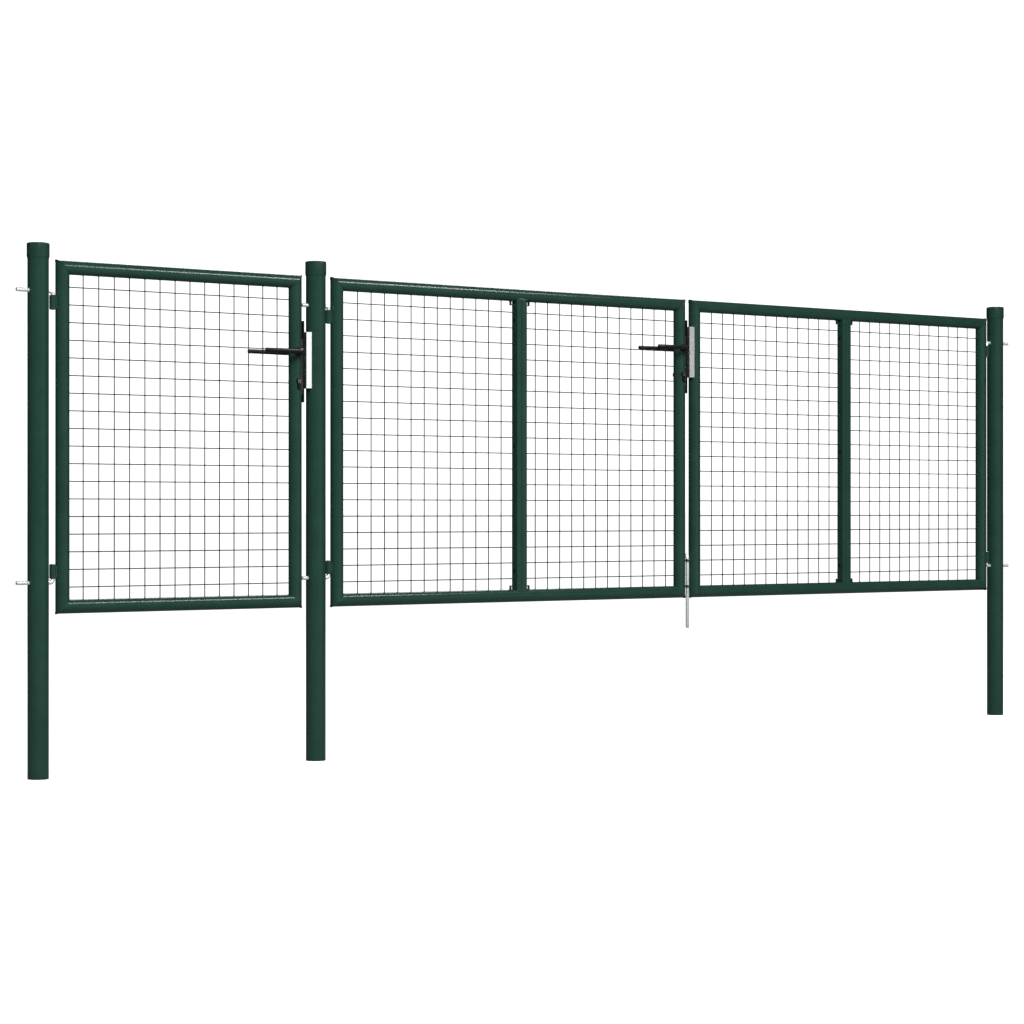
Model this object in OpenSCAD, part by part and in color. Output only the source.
// Mesh gate set on three round posts: a single leaf, then a pair of leaves that meet in the middle.
// Millimetres. X runs along the gate line, Z is up, and the locks are seen from the -Y side.
// The origin lies on the plane of the post feet, midway between the outermost hinge bolt ends.

/* [Posts] */
// Outer diameter of the post tubes
post_d = 60; // [55:1:76]
// Wall of the post tubes
post_wall = 1.5; // [1:0.5:3]
// Height of the posts' rims above the top of the leaves
post_over = 37; // [0:1:200]
// Wall of the cap's skirt around the post
cap_wall = 2; // [1.5:0.5:4]
// Depth of the cap's skirt below the post's rim
cap_skirt = 37; // [20:1:60]
// Height of the cap's solid top above the post's rim
cap_rise = 8; // [4:1:15]

/* [Leaves] */
// Height of every leaf over its frame
leaf_h = 1000; // [800:10:1200]
// Height of the leaves' lower edge above the post feet
leaf_lift = 463; // [400:1:480]
// Outer diameter of the frame tubes
frame_d = 40; // [38:1:50]
// Wall of the frame tubes
frame_wall = 1.5; // [1:0.5:2.5]
// Single leaf: hinge stile centre to lock stile centre
single_bay = 780; // [600:10:1200]
// Left leaf: hinge stile centre to mullion centre
left_outer_bay = 700; // [500:5:1000]
// Left leaf: mullion centre to lock stile centre
left_inner_bay = 675; // [500:5:1000]
// Right leaf: meeting stile centre to mullion centre
right_inner_bay = 700; // [500:5:1000]
// Right leaf: mullion centre to hinge stile centre
right_outer_bay = 700; // [500:5:1000]
// Clear gap between the single leaf's lock stile and the middle post
lock_gap = 24; // [22:1:30]
// Clear gap between the two meeting stiles
meeting_gap = 27; // [26:1:32]

/* [Mesh] */
// Spacing of the welded wires, both ways
mesh_pitch = 50; // [25:5:100]
// Wire diameter
wire_d = 3.2; // [2.5:0.1:5]
// Least distance from a frame tube to the nearest wire that runs beside it
mesh_margin = 34; // [10:1:60]

/* [Mullions] */
// Width of each of the two tubes that are bolted together as a mullion
mullion_half_w = 20; // [15:1:30]
// Depth of the mullion tubes, front to back
mullion_depth = 30; // [20:1:36]
// Wall of the mullion tubes
mullion_wall = 1.5; // [1:0.5:2.5]
// Reach of each corner bracket sideways from the mullion
bracket_reach = 18; // [12:1:30]
// Clear space between a corner bracket and its rail
bracket_gap = 10; // [5:1:20]
// Thickness of the corner brackets
bracket_t = 3; // [2:0.5:5]
// Depth of the corner brackets, front to back
bracket_depth = 8; // [6:1:20]
// Distance of the end mullion bolts from the leaf's top and bottom
mullion_bolt_inset = 100; // [60:1:150]
// Shank diameter of the mullion bolts
mullion_bolt_d = 6; // [5:1:8]

/* [Hinges] */
// Diameter of the bent hinge bolts
bolt_d = 12; // [10:1:16]
// Bend radius of the hinge bolts on their centre line
bolt_bend_r = 10; // [9:1:16]
// Length of bolt that stands out behind the two end posts
bolt_out = 38; // [10:1:60]
// Distance of each hinge bolt from the leaf's top or bottom
hinge_inset = 89; // [75:1:150]
// Outer diameter of the hinge sleeves
sleeve_d = 20; // [19:1:26]
// Length of the hinge sleeves
sleeve_h = 40; // [25:1:60]
// Clear gap between the post and the hinge sleeves
hinge_gap = 6; // [6:1:12]

/* [Locks] */
// Distance of the single leaf's lever below the top of the leaf
single_lever_drop = 231.5; // [150:0.5:350]
// Distance of the left leaf's lever below the top of the leaf
left_lever_drop = 164; // [150:1:350]
// Length of the lever arms from the spindle
lever_len = 135; // [90:1:160]
// Distance of the lever arms' middle plane from the leaf's middle plane
lever_plane = 50; // [42:1:65]
// Thickness of the lever arms
lever_t = 10; // [6:1:14]
// Distance from the lever spindle down to the cylinder
lock_centres = 88; // [72:1:92]
// Height of the lock's faceplate
plate_h = 245; // [200:1:260]
// Width of the lock's faceplate
plate_w = 28; // [20:1:30]
// Thickness of the lock's faceplate
plate_t = 4; // [2:0.5:4]
// Travel of the latch
latch_throw = 11.5; // [8:0.5:11.5]
// Travel of the deadbolt
deadbolt_throw = 14; // [8:0.5:14]
// Height of the keeps
keep_h = 169; // [140:1:200]
// Distance from the lock stile's surface to the keep's front edge
keep_clear = 6.5; // [6:0.5:8]

/* [Drop bolt] */
// Diameter of the drop bolt
drop_d = 12; // [10:1:14]
// Reach of the drop bolt's handle behind the leaf
drop_handle = 50; // [30:1:50]
// Travel of the drop bolt
drop_travel = 100; // [50:1:110]
// Length of the lifted drop bolt that still stands out below the leaf
drop_spare = 2; // [0:1:20]

/* [Hidden] */
$fn = 64;

// Clearances: pieces that are welded together, pieces that turn or slide, and loose holes
weld_gap = 0.05;
run_gap = 0.1;
hole_gap = 0.1;
// How far cutting shapes run past the surface they cut
past = 1;

// Colours
green = [0.13, 0.26, 0.21];
cap_green = [0.11, 0.23, 0.18];
black = [0.07, 0.07, 0.07];
zinc = [0.78, 0.79, 0.80];
silver = [0.88, 0.89, 0.90];
dark_nickel = [0.20, 0.20, 0.21];

post_r = post_d / 2;
frame_r = frame_d / 2;
sleeve_r = sleeve_d / 2;
bolt_r = bolt_d / 2;

// Places along the gate line
hinge_off = post_r + hinge_gap + sleeve_r;
stile_off = hinge_off + sleeve_r + weld_gap + frame_r;
left_w = left_outer_bay + left_inner_bay;
right_w = right_inner_bay + right_outer_bay;
single_span = stile_off + single_bay + frame_r + lock_gap + post_r;
double_span = stile_off + left_w + frame_d + meeting_gap + right_w + stile_off;
post_left_x = -(single_span + double_span) / 2;
post_middle_x = post_left_x + single_span;
post_right_x = post_middle_x + double_span;
single_hinge_x = post_left_x + stile_off;
single_lock_x = single_hinge_x + single_bay;
left_hinge_x = post_middle_x + stile_off;
left_mullion_x = left_hinge_x + left_outer_bay;
left_lock_x = left_hinge_x + left_w;
right_meeting_x = left_lock_x + frame_d + meeting_gap;
right_mullion_x = right_meeting_x + right_inner_bay;
right_hinge_x = post_right_x - stile_off;

// Heights
leaf_top = leaf_lift + leaf_h;
post_h = leaf_top + post_over;
rail_top_z = leaf_top - frame_r;
rail_bottom_z = leaf_lift + frame_r;
bolt_top_z = leaf_top - hinge_inset;
bolt_bottom_z = leaf_lift + hinge_inset;
single_lever_z = leaf_top - single_lever_drop;
left_lever_z = leaf_top - left_lever_drop;

// Hinge details: the play between bend and sleeve, and the pin's end beyond the sleeve
sleeve_play = 1;
pin_end = 2;
// Clearance kept between the middle post's bolt ends and the single leaf's lock stile
bolt_end_clear = 4;

// Lock case, inside the lock stile; all lock places are measured from the lever's spindle
case_t = 17;
case_wall = 1.25;
case_top = 40;
case_bottom = 126;
case_side_clear = 2.4;
case_back = sqrt(pow(frame_r - frame_wall, 2) - pow(case_t / 2, 2)) - case_side_clear;
case_inner = case_back - case_wall;
plate_drop = 28.5;
plate_face = frame_r + plate_t;
latch_drop = 18;
latch_w = 12;
latch_h = 16;
latch_nose = 7;
deadbolt_drop = 55;
deadbolt_w = 10;
deadbolt_h = 20;
// Length of deadbolt that stays inside the lock when it is thrown
deadbolt_hold = 16;
deadbolt_len = deadbolt_throw + deadbolt_hold;
deadbolt_sink = 0.5;
// Free space left behind the latch when it is drawn in
latch_spare = 1;
// Follower and spindle
spindle_w = 8;
spindle_half = 40;
follower_d = 16;
follower_t = 8;
spindle_hole = 13;
// Lever: neck in its bush, and the arm's height at both ends
neck_d = 16;
neck_start = 11;
arm_root_h = 15;
arm_tip_h = 13;
arm_corner = 2;
bush_d = 20;
bush_flange_d = 26;
bush_start = 9.5;
bush_saddle = 14;
bush_end = frame_r + 2.5;
// Profile cylinder
cyl_d = 17;
cyl_tail_w = 10;
cyl_tail = 19.5;
cyl_proud = 5;
cyl_half = frame_r + cyl_proud;
cam_slot = 10;
cam_slot_depth = 12.5;
plug_d = 12.4;
plug_proud = 0.5;
cam_d = 15;
cam_t = 9;
cam_tooth_r = 11.3;
cam_tooth_w = 8;
key_slot_w = 2.2;
key_slot_h = 8.5;
key_slot_depth = 8;
// Screws through the faceplate
plate_screw_d = 4.2;
plate_screw_head = 8;
plate_screw_len = 15;
plate_screw_inset = 12;
cyl_screw_d = 5;
cyl_screw_drop = 16;
cyl_screw_bite = 3;

// Keep: a J-shaped profile open at the back, with a web against its post or stile
keep_t = 2.5;
keep_front = 22;
keep_rear = 14;
keep_lip = 13;
keep_over = 1;
keep_screw_d = 4.8;
keep_screw_head = 9;
keep_screw_head_h = 3;
keep_screw_len = 12;
keep_screw_inset = 16;
single_keep_drop = 24;
right_keep_drop = 12.5;

// Button heads and hexagon nuts of the mullion bolts
mullion_head_d = 12;
mullion_head_h = 2.5;
mullion_hex = 10;
mullion_nut_h = 5;
mullion_bolt_end = 2;

// Drop bolt guides, welded to the meeting stile
guide_wall = 5.2;
guide_d = drop_d + 2 * (run_gap + guide_wall);
guide_h = 7;
guide_low = 38;
guide_high = 125;
drop_bend_r = 15;
drop_seat = 0.4;
drop_tip = 3;
drop_x = right_meeting_x - frame_r - weld_gap - guide_d / 2;
drop_bend_z = leaf_lift + guide_high + guide_h / 2 + drop_seat;

// Cap: edge radius at the top, and the tapered end of the skirt
cap_edge_r = 4;
cap_taper = 7;
cap_lip = 0.8;
arc_steps = 6;

// A tube standing on z0, and a tube lying along X from x0
module tube_z(d, wall, z0, h) {
    translate([0, 0, z0]) difference() {
        cylinder(d = d, h = h);
        translate([0, 0, -past]) cylinder(d = d - 2 * wall, h = h + 2 * past);
    }
}
module tube_x(d, wall, x0, len) {
    translate([x0, 0, 0]) rotate([0, 90, 0]) tube_z(d, wall, 0, len);
}
// A rod along Y, centred on the leaf's middle plane
module rod_y(d, len) {
    rotate([90, 0, 0]) cylinder(d = d, h = len, center = true);
}
// A rod along +X from the origin
module rod_x(d, len) {
    rotate([0, 90, 0]) cylinder(d = d, h = len);
}
// A flat XZ outline as thick as t, centred on the leaf's middle plane
module slab_y(t) {
    rotate([90, 0, 0]) linear_extrude(height = t, center = true) children();
}
module box(x0, x1, y0, y1, z0, z1) {
    translate([x0, y0, z0]) cube([x1 - x0, y1 - y0, z1 - z0]);
}

// Posts
module post(x) {
    color(green) translate([x, 0, 0]) difference() {
        tube_z(post_d, post_wall, 0, post_h);
        for (z = [bolt_bottom_z, bolt_top_z])
            translate([-post_d, 0, z]) rod_x(bolt_d + 2 * hole_gap, 2 * post_d);
    }
}
module post_left() { post(post_left_x); }
module post_middle() {
    difference() {
        post(post_middle_x);
        keep_screw_holes(post_middle_x - post_r, single_lever_z - single_keep_drop);
    }
}
module post_right() { post(post_right_x); }

module cap_outline() {
    outer = post_r + cap_wall;
    inner = post_r + hole_gap;
    top = post_h + cap_rise;
    edge = [for (i = [0:arc_steps]) let (a = 90 * i / arc_steps)
        [outer - cap_edge_r + cap_edge_r * cos(a), top - cap_edge_r + cap_edge_r * sin(a)]];
    polygon(concat(
        [[inner, post_h - cap_skirt], [post_r + cap_lip, post_h - cap_skirt],
         [outer, post_h - cap_skirt + cap_taper]],
        edge,
        [[0, top], [0, post_h], [inner, post_h]]));
}
module post_caps() {
    color(cap_green)
        for (x = [post_left_x, post_middle_x, post_right_x])
            translate([x, 0, 0]) rotate_extrude() cap_outline();
}

// A bent hinge bolt through a post, with its pin turned down; out is its length behind the post
module hinge_bolt(out) {
    translate([-post_r - out, 0, 0]) rod_x(bolt_d, post_r + out + hinge_off - bolt_bend_r);
    translate([hinge_off - bolt_bend_r, 0, -bolt_bend_r]) rotate([90, 0, 0])
        rotate_extrude(angle = 90) translate([bolt_bend_r, 0]) circle(d = bolt_d);
    translate([hinge_off, 0, -bolt_bend_r - sleeve_play - sleeve_h - pin_end])
        cylinder(d = bolt_d, h = sleeve_play + sleeve_h + pin_end);
}
// The upper and the lower bolt of a post; side is the leaf's side of the post
module hinge_bolt_pair(x, side, out) {
    translate([x, 0, 0]) mirror([side < 0 ? 1 : 0, 0, 0]) {
        translate([0, 0, bolt_top_z]) hinge_bolt(out);
        translate([0, 0, bolt_bottom_z]) mirror([0, 0, 1]) hinge_bolt(out);
    }
}
module hinge_bolts() {
    color(zinc) {
        hinge_bolt_pair(post_left_x, 1, bolt_out);
        hinge_bolt_pair(post_middle_x, 1, lock_gap - bolt_end_clear);
        hinge_bolt_pair(post_right_x, -1, bolt_out);
    }
}

// Two sleeves on the hinge axis, side as for the bolts
module hinge_sleeves(post_x, side) {
    color(green) translate([post_x + side * hinge_off, 0, 0])
        for (z0 = [bolt_bottom_z + bolt_bend_r + sleeve_play,
                   bolt_top_z - bolt_bend_r - sleeve_play - sleeve_h])
            tube_z(sleeve_d, sleeve_r - bolt_r - run_gap, z0, sleeve_h);
}

// Keeps: one on the middle post, one on the right leaf's meeting stile
module keep(face_x, z, gap) {
    lip_x = face_x - (gap - keep_clear);
    color(silver) translate([0, 0, z - keep_h / 2]) linear_extrude(height = keep_h) polygon([
        [face_x - keep_t, keep_rear], [face_x - weld_gap, keep_rear],
        [face_x - weld_gap, -keep_front + keep_t], [face_x + keep_over, -keep_front + keep_t],
        [face_x + keep_over, -keep_front], [lip_x, -keep_front],
        [lip_x, -keep_front + keep_lip], [lip_x + keep_t, -keep_front + keep_lip],
        [lip_x + keep_t, -keep_front + keep_t], [face_x - keep_t, -keep_front + keep_t]
    ]);
}
module at_keep_screws(face_x, z) {
    for (s = [-1, 1])
        translate([face_x - keep_t, 0, z + s * (keep_h / 2 - keep_screw_inset)]) children();
}
module keep_screw_holes(face_x, z) {
    at_keep_screws(face_x, z)
        translate([-past, 0, 0]) rod_x(keep_screw_d + 2 * hole_gap, keep_screw_len + 2 * past);
}
module drilled_keep(face_x, z, gap) {
    difference() {
        keep(face_x, z, gap);
        keep_screw_holes(face_x, z);
    }
}
module keep_screws(face_x, z) {
    color(zinc) at_keep_screws(face_x, z) {
        rod_x(keep_screw_d, keep_screw_len);
        translate([-keep_screw_head_h, 0, 0]) rod_x(keep_screw_head, keep_screw_head_h);
    }
}
module single_keep() {
    drilled_keep(post_middle_x - post_r, single_lever_z - single_keep_drop, lock_gap);
}
module single_keep_screws() {
    keep_screws(post_middle_x - post_r, single_lever_z - single_keep_drop);
}
module right_keep() {
    drilled_keep(right_meeting_x - frame_r, left_lever_z - right_keep_drop, meeting_gap);
}
module right_keep_screws() {
    keep_screws(right_meeting_x - frame_r, left_lever_z - right_keep_drop);
}

// Frame tubes, mitred at the corners; inward is the direction from the stile to its leaf
module stile(x, inward) {
    color(green) translate([x, 0, 0]) intersection() {
        tube_z(frame_d, frame_wall, leaf_lift - past, leaf_h + 2 * past);
        slab_y(frame_d + 2 * past) polygon([
            [-inward * frame_r, leaf_lift], [inward * frame_r, leaf_lift + frame_d],
            [inward * frame_r, leaf_top - frame_d], [-inward * frame_r, leaf_top]
        ]);
    }
}
module rail(x0, x1, z, up) {
    color(green) intersection() {
        translate([0, 0, z])
            tube_x(frame_d, frame_wall, x0 - frame_r - past, x1 - x0 + frame_d + 2 * past);
        slab_y(frame_d + 2 * past) polygon([
            [x0 - frame_r, z + up * frame_r], [x1 + frame_r, z + up * frame_r],
            [x1 - frame_r, z - up * frame_r], [x0 + frame_r, z - up * frame_r]
        ]);
    }
}
module lock_stile(x, lever_z) {
    difference() {
        stile(x, -1);
        translate([x, 0, lever_z]) {
            box(0, frame_d, -case_t / 2 - hole_gap, case_t / 2 + hole_gap,
                -case_bottom - hole_gap, case_top + hole_gap);
            rod_y(bush_d + 2 * hole_gap, 2 * frame_d);
            translate([0, 0, -lock_centres]) slab_y(2 * frame_d) euro_profile(hole_gap);
            at_plate_screws() rod_x(plate_screw_d + 2 * hole_gap, frame_d);
        }
    }
}

module single_hinge_stile() { stile(single_hinge_x, 1); }
module single_lock_stile() { lock_stile(single_lock_x, single_lever_z); }
module single_top_rail() { rail(single_hinge_x, single_lock_x, rail_top_z, 1); }
module single_bottom_rail() { rail(single_hinge_x, single_lock_x, rail_bottom_z, -1); }
module single_hinge_sleeves() { hinge_sleeves(post_left_x, 1); }

module left_hinge_stile() { stile(left_hinge_x, 1); }
module left_lock_stile() { lock_stile(left_lock_x, left_lever_z); }
module left_top_rail() { rail(left_hinge_x, left_lock_x, rail_top_z, 1); }
module left_bottom_rail() { rail(left_hinge_x, left_lock_x, rail_bottom_z, -1); }
module left_hinge_sleeves() { hinge_sleeves(post_middle_x, 1); }

module right_hinge_stile() { stile(right_hinge_x, -1); }
module right_meeting_stile() {
    difference() {
        stile(right_meeting_x, 1);
        keep_screw_holes(right_meeting_x - frame_r, left_lever_z - right_keep_drop);
    }
}
module right_top_rail() { rail(right_meeting_x, right_hinge_x, rail_top_z, 1); }
module right_bottom_rail() { rail(right_meeting_x, right_hinge_x, rail_bottom_z, -1); }
module right_hinge_sleeves() { hinge_sleeves(post_right_x, -1); }

// Welded mesh between the faces x0 and x1: upright wires in front, level wires behind
function wire_count(clear) = floor((clear - 2 * mesh_margin) / mesh_pitch) + 1;
mesh_low = leaf_lift + frame_d + weld_gap;
mesh_high = leaf_top - frame_d - weld_gap;
mesh_rows = wire_count(mesh_high - mesh_low);
first_row_z = (mesh_low + mesh_high - (mesh_rows - 1) * mesh_pitch) / 2;
module mesh_panel(x0, x1) {
    columns = wire_count(x1 - x0);
    first_x = (x0 + x1 - (columns - 1) * mesh_pitch) / 2;
    color(green) {
        for (i = [0:columns - 1])
            translate([first_x + i * mesh_pitch, -wire_d / 2, mesh_low])
                cylinder(d = wire_d, h = mesh_high - mesh_low);
        for (j = [0:mesh_rows - 1])
            translate([x0 + weld_gap, wire_d / 2 + weld_gap, first_row_z + j * mesh_pitch])
                rod_x(wire_d, x1 - x0 - 2 * weld_gap);
    }
}
module single_mesh() { mesh_panel(single_hinge_x + frame_r, single_lock_x - frame_r); }
module left_outer_mesh() {
    mesh_panel(left_hinge_x + frame_r, left_mullion_x - mullion_half_w);
}
module left_inner_mesh() {
    mesh_panel(left_mullion_x + mullion_half_w, left_lock_x - frame_r);
}
module right_inner_mesh() {
    mesh_panel(right_meeting_x + frame_r, right_mullion_x - mullion_half_w);
}
module right_outer_mesh() {
    mesh_panel(right_mullion_x + mullion_half_w, right_hinge_x - frame_r);
}

// The space that both rails fill, for shaping what is welded to them
module rail_space(x0, x1) {
    for (z = [rail_bottom_z, rail_top_z])
        translate([x0, 0, z]) rod_x(frame_d + 2 * weld_gap, x1 - x0);
}
// The mullion bolts lie midway between two level wires
function between_rows(z) =
    first_row_z + (floor((z - first_row_z) / mesh_pitch) + 1 / 2) * mesh_pitch;
mullion_bolt_zs = [for (z = [leaf_lift + mullion_bolt_inset, leaf_lift + leaf_h / 2,
                             leaf_top - mullion_bolt_inset]) between_rows(z)];
module mullion(x) {
    half = mullion_depth / 2;
    color(green) difference() {
        for (side = [0, 1])
            translate([x, 0, 0]) mirror([side, 0, 0]) difference() {
                box(weld_gap / 2, mullion_half_w, -half, half, rail_bottom_z, rail_top_z);
                box(mullion_wall, mullion_half_w - mullion_wall,
                    -half + mullion_wall, half - mullion_wall,
                    rail_bottom_z - past, rail_top_z + past);
            }
        rail_space(x - 2 * mullion_half_w, x + 2 * mullion_half_w);
        for (z = mullion_bolt_zs)
            translate([x - 2 * mullion_half_w, 0, z])
                rod_x(mullion_bolt_d + 2 * hole_gap, 4 * mullion_half_w);
    }
}
module mullion_bolts(x) {
    color(black) for (z = mullion_bolt_zs) translate([x - mullion_half_w, 0, z]) {
        rod_x(mullion_bolt_d, 2 * mullion_half_w + mullion_nut_h + mullion_bolt_end);
        translate([-mullion_head_h, 0, 0]) rod_x(mullion_head_d, mullion_head_h);
        translate([2 * mullion_half_w, 0, 0]) hex_x(mullion_nut_h);
    }
}
// A hexagon along +X; its size is measured across the flats
module hex_x(len) {
    rotate([0, 90, 0]) cylinder(d = mullion_hex / cos(30), h = len, $fn = 6);
}
// Corner brackets, each an angle between the mullion's side and its rail
module corner_bracket() {
    low = bracket_gap;
    x0 = mullion_half_w + weld_gap;
    x1 = mullion_half_w + bracket_reach;
    half = bracket_depth / 2;
    box(x0, x1, -half, half, -low - bracket_t, -low);
    box(x1 - bracket_t, x1, -half, half, -low, frame_r);
}
module brackets(x) {
    color(green) difference() {
        for (side = [0, 1], level = [0, 1])
            translate([x, 0, level == 0 ? rail_bottom_z + frame_r : rail_top_z - frame_r])
                mirror([side, 0, 0]) mirror([0, 0, 1 - level]) corner_bracket();
        rail_space(x - 2 * mullion_half_w - bracket_reach, x + 2 * mullion_half_w + bracket_reach);
    }
}
module left_mullion() { mullion(left_mullion_x); }
module left_mullion_bolts() { mullion_bolts(left_mullion_x); }
module left_brackets() { brackets(left_mullion_x); }
module right_mullion() { mullion(right_mullion_x); }
module right_mullion_bolts() { mullion_bolts(right_mullion_x); }
module right_brackets() { brackets(right_mullion_x); }

// Lock pieces, drawn around the lever's spindle
module at_single_lock() { translate([single_lock_x, 0, single_lever_z]) children(); }
module at_left_lock() { translate([left_lock_x, 0, left_lever_z]) children(); }

module euro_profile(grow) {
    circle(d = cyl_d + 2 * grow);
    translate([-cyl_tail_w / 2 - grow, -cyl_tail]) square([cyl_tail_w + 2 * grow, cyl_tail]);
    translate([0, -cyl_tail]) circle(d = cyl_tail_w + 2 * grow);
}
module at_plate_screws() {
    for (s = [-1, 1])
        translate([0, 0, s * (plate_h / 2 - plate_screw_inset) - plate_drop]) children();
}
module latch_space(grow) {
    box(0, plate_face + past, -latch_w / 2 - grow, latch_w / 2 + grow,
        -latch_drop - latch_h / 2 - grow, -latch_drop + latch_h / 2 + grow);
}
module deadbolt_space(grow) {
    box(0, plate_face + past, -deadbolt_w / 2 - grow, deadbolt_w / 2 + grow,
        -deadbolt_drop - deadbolt_h / 2 - grow, -deadbolt_drop + deadbolt_h / 2 + grow);
}
module lock_case() {
    color(zinc) difference() {
        box(-case_back, frame_r - weld_gap, -case_t / 2, case_t / 2, -case_bottom, case_top);
        box(-case_inner, frame_r + past, -case_t / 2 + case_wall, case_t / 2 - case_wall,
            -case_bottom + case_wall, case_top - case_wall);
        rod_y(spindle_hole, 2 * case_t);
        translate([0, 0, -lock_centres]) slab_y(2 * case_t) euro_profile(hole_gap);
    }
}
// A countersunk screw along X whose head lies flush with the faceplate; grow widens it into a hole
module plate_screw(d, len, grow = 0) {
    translate([plate_face - len, 0, 0]) rod_x(d + 2 * grow, len);
    translate([plate_face - plate_t, 0, 0]) rotate([0, 90, 0])
        cylinder(d1 = d + 2 * grow, d2 = plate_screw_head + 2 * grow, h = plate_t);
}
cyl_screw_z = -lock_centres - cyl_screw_drop;
cyl_screw_len = plate_face - cyl_tail_w / 2 + cyl_screw_bite;
module faceplate() {
    color(black) difference() {
        box(frame_r, plate_face, -plate_w / 2, plate_w / 2,
            -plate_drop - plate_h / 2, -plate_drop + plate_h / 2);
        latch_space(run_gap);
        deadbolt_space(run_gap);
        at_plate_screws() plate_screw(plate_screw_d, frame_d, hole_gap);
        translate([0, 0, cyl_screw_z]) plate_screw(cyl_screw_d, frame_d, hole_gap);
    }
}
module faceplate_screws() {
    color(zinc) {
        at_plate_screws() plate_screw(plate_screw_d, plate_screw_len);
        translate([0, 0, cyl_screw_z]) plate_screw(cyl_screw_d, cyl_screw_len);
    }
}
module profile_cylinder() {
    color(black) difference() {
        translate([0, 0, -lock_centres]) difference() {
            slab_y(2 * cyl_half) euro_profile(0);
            rod_y(plug_d + 2 * run_gap, 3 * cyl_half);
            box(-cyl_d, cyl_d, -cam_slot / 2, cam_slot / 2, -cam_slot_depth, cyl_d);
        }
        translate([0, 0, cyl_screw_z]) rod_x(cyl_screw_d + 2 * hole_gap, frame_r);
    }
}
module key_plug() {
    color(dark_nickel) translate([0, 0, -lock_centres]) {
        difference() {
            rod_y(plug_d, 2 * (cyl_half + plug_proud));
            for (s = [-1, 1])
                translate([-key_slot_w / 2,
                           s > 0 ? cyl_half + plug_proud - key_slot_depth : -cyl_half - past,
                           -key_slot_h / 2])
                    cube([key_slot_w, key_slot_depth + past, key_slot_h]);
        }
        rod_y(cam_d, cam_t);
        box(-cam_tooth_w / 2, cam_tooth_w / 2, -cam_t / 2, cam_t / 2, 0, cam_tooth_r);
    }
}
module spindle() {
    color(zinc) box(-spindle_w / 2, spindle_w / 2, -spindle_half, spindle_half,
                    -spindle_w / 2, spindle_w / 2);
}
module square_hole(len) {
    w = spindle_w / 2 + hole_gap;
    box(-w, w, -len, len, -w, w);
}
module follower() {
    color(zinc) difference() {
        rod_y(follower_d, follower_t);
        square_hole(follower_t);
    }
}
module lever_bushes() {
    color(black) for (side = [0, 1]) mirror([0, side, 0]) difference() {
        union() {
            translate([0, bush_start, 0]) rotate([-90, 0, 0])
                cylinder(d = bush_d, h = bush_end - bush_start);
            difference() {
                translate([0, bush_saddle, 0]) rotate([-90, 0, 0])
                    cylinder(d = bush_flange_d, h = bush_end - bush_saddle);
                translate([0, 0, -frame_d]) cylinder(r = frame_r + weld_gap, h = 2 * frame_d);
            }
        }
        rod_y(neck_d + 2 * run_gap, 2 * frame_d);
    }
}
module lever_outline() {
    shoulder = lever_len - arm_corner;
    circle(d = neck_d);
    polygon([[0, -arm_root_h / 2], [0, arm_root_h / 2], [-shoulder, arm_tip_h / 2],
             [-lever_len, arm_tip_h / 2 - arm_corner], [-lever_len, arm_corner - arm_tip_h / 2],
             [-shoulder, -arm_tip_h / 2]]);
}
module lever_handles() {
    color(black) for (side = [0, 1]) mirror([0, side, 0]) difference() {
        union() {
            translate([0, neck_start, 0]) rotate([-90, 0, 0])
                cylinder(d = neck_d, h = lever_plane - neck_start);
            translate([0, lever_plane, 0]) slab_y(lever_t) lever_outline();
        }
        square_hole(spindle_half + hole_gap);
    }
}
// The latch: a bar with a nose that is bevelled on the closing side
module latch() {
    z0 = -latch_drop - latch_h / 2;
    tail = latch_throw + latch_spare - case_inner;
    tip = plate_face + latch_throw;
    color(zinc) translate([0, 0, z0]) linear_extrude(height = latch_h) polygon([
        [tail, -latch_w / 2], [tip, -latch_w / 2], [tip, 0],
        [tip - latch_nose, latch_w / 2], [tail, latch_w / 2]
    ]);
}
module deadbolt() {
    z0 = -deadbolt_drop - deadbolt_h / 2;
    tip = plate_face - deadbolt_sink;
    color(zinc) box(tip - deadbolt_len, tip, -deadbolt_w / 2, deadbolt_w / 2, z0, z0 + deadbolt_h);
}

module single_lock_case() { at_single_lock() lock_case(); }
module single_faceplate() { at_single_lock() faceplate(); }
module single_faceplate_screws() { at_single_lock() faceplate_screws(); }
module single_cylinder() { at_single_lock() profile_cylinder(); }
module single_lever_bushes() { at_single_lock() lever_bushes(); }
module single_lever_handles() { at_single_lock() lever_handles(); }
module single_spindle() { at_single_lock() spindle(); }
module single_follower() { at_single_lock() follower(); }
module single_latch() { at_single_lock() latch(); }
module single_deadbolt() { at_single_lock() deadbolt(); }
module single_key_plug() { at_single_lock() key_plug(); }

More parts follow.
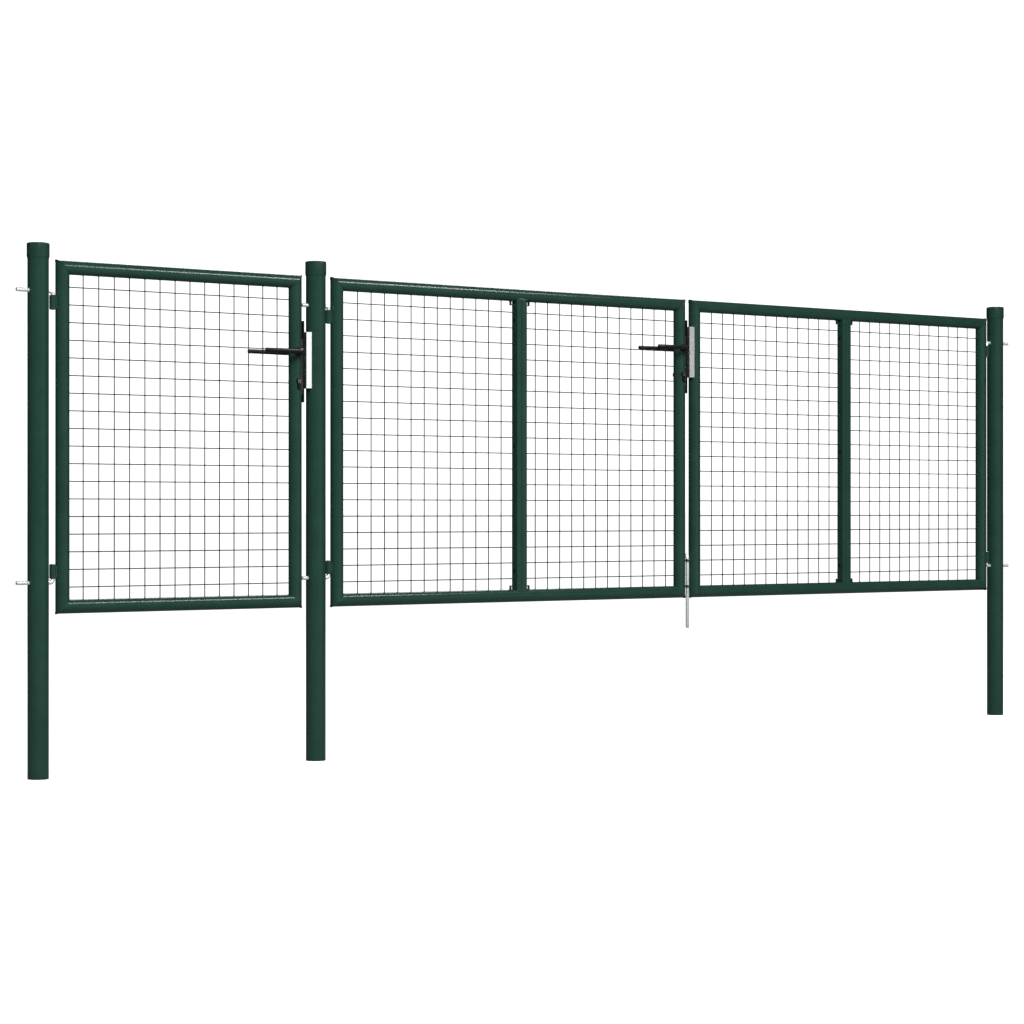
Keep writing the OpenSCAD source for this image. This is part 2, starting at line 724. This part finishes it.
module left_lock_case() { at_left_lock() lock_case(); }
module left_faceplate() { at_left_lock() faceplate(); }
module left_faceplate_screws() { at_left_lock() faceplate_screws(); }
module left_cylinder() { at_left_lock() profile_cylinder(); }
module left_lever_bushes() { at_left_lock() lever_bushes(); }
module left_lever_handles() { at_left_lock() lever_handles(); }
module left_spindle() { at_left_lock() spindle(); }
module left_follower() { at_left_lock() follower(); }
module left_latch() { at_left_lock() latch(); }
module left_deadbolt() { at_left_lock() deadbolt(); }
module left_key_plug() { at_left_lock() key_plug(); }

// Drop bolt: a rod in two welded rings, with its upper end bent back as a handle
module drop_bolt_guides() {
    color(green) for (z = [guide_low, guide_high])
        translate([drop_x, 0, 0])
            tube_z(guide_d, guide_wall, leaf_lift + z - guide_h / 2, guide_h);
}
module drop_bolt() {
    foot = leaf_lift - drop_travel - drop_spare;
    color(zinc) translate([drop_x, 0, 0]) {
        translate([0, 0, foot]) cylinder(d1 = drop_d - drop_tip, d2 = drop_d, h = drop_tip);
        translate([0, 0, foot + drop_tip])
            cylinder(d = drop_d, h = drop_bend_z - foot - drop_tip);
        translate([0, drop_bend_r, drop_bend_z]) rotate([90, 0, -90])
            rotate_extrude(angle = 90) translate([drop_bend_r, 0]) circle(d = drop_d);
        translate([0, drop_bend_r, drop_bend_z + drop_bend_r]) rotate([-90, 0, 0])
            cylinder(d = drop_d, h = drop_handle - drop_bend_r);
    }
}

post_left();
post_middle();
post_right();
post_caps();
hinge_bolts();
single_keep();
single_keep_screws();
single_hinge_stile();
single_lock_stile();
single_top_rail();
single_bottom_rail();
single_mesh();
single_hinge_sleeves();
single_lock_case();
single_faceplate();
single_faceplate_screws();
single_cylinder();
single_lever_bushes();
single_lever_handles();
single_spindle();
single_follower();
single_latch();
single_deadbolt();
single_key_plug();
left_hinge_stile();
left_lock_stile();
left_top_rail();
left_bottom_rail();
left_outer_mesh();
left_inner_mesh();
left_mullion();
left_mullion_bolts();
left_brackets();
left_hinge_sleeves();
left_lock_case();
left_faceplate();
left_faceplate_screws();
left_cylinder();
left_lever_bushes();
left_lever_handles();
left_spindle();
left_follower();
left_latch();
left_deadbolt();
left_key_plug();
right_hinge_stile();
right_meeting_stile();
right_top_rail();
right_bottom_rail();
right_inner_mesh();
right_outer_mesh();
right_mullion();
right_mullion_bolts();
right_brackets();
right_hinge_sleeves();
right_keep();
right_keep_screws();
drop_bolt_guides();
drop_bolt();
